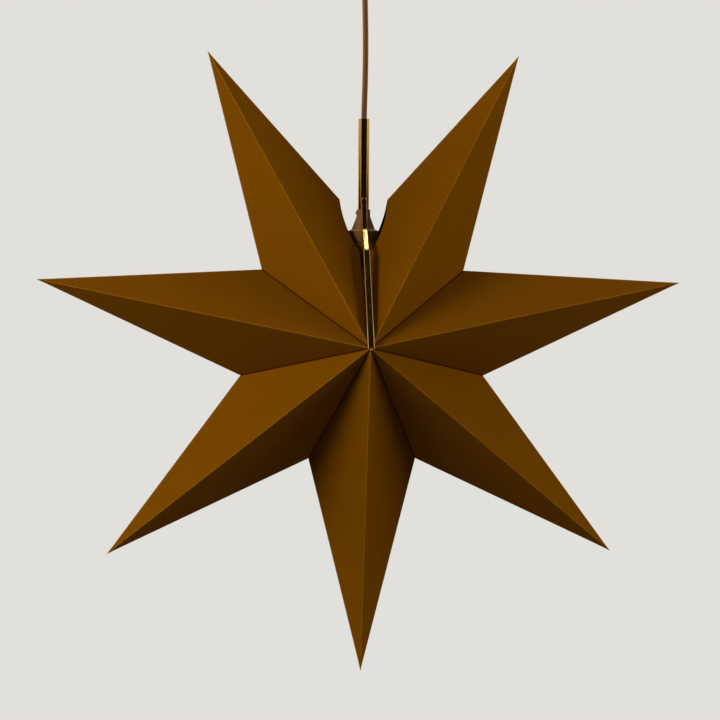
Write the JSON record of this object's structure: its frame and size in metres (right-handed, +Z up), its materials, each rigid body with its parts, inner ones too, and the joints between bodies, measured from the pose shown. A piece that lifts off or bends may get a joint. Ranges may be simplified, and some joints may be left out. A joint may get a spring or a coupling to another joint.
{
  "type": "window star",
  "caption": "Hanging star lamp of folded card points with a brass cord tube, carrying legs, lampholder and ceiling cup.",
  "frame": {"origin": "centre of the ceiling face, where the ceiling cup and its bar meet the ceiling", "axes": "+Z up, +X to the right as seen from the front, the star's front face looks along -Y"},
  "size_m": [0.5886, 0.168, 0.672],
  "materials": {
    "card": "matt through-dyed ochre card",
    "brass": "polished",
    "cream_plastic": "moulded, satin",
    "steel": "zinc plated",
    "bulb_glass": "frosted",
    "cord_sheath": "smooth round sheath"
  },
  "bodies": {
    "root": {"point_1": "card", "point_2": "card", "point_3": "card", "point_4": "card", "point_5": "card", "point_6": "card", "point_7": "card", "cord_tube": "brass", "front_leg": "brass", "back_leg": "brass", "front_rail": "brass", "back_rail": "brass", "lamp_shell": "brass", "centre_contact": "brass", "ceiling_cup": "brass", "cup_screws": "brass", "cord_grip": "brass", "holder_cap": "cream_plastic", "holder_body": "cream_plastic", "terminal_block": "cream_plastic", "connector_block": "cream_plastic", "side_screw": "steel", "mounting_bar": "steel", "grip_nut": "steel", "bulb": "bulb_glass", "cord": "cord_sheath"}
  },
  "joints": []
}
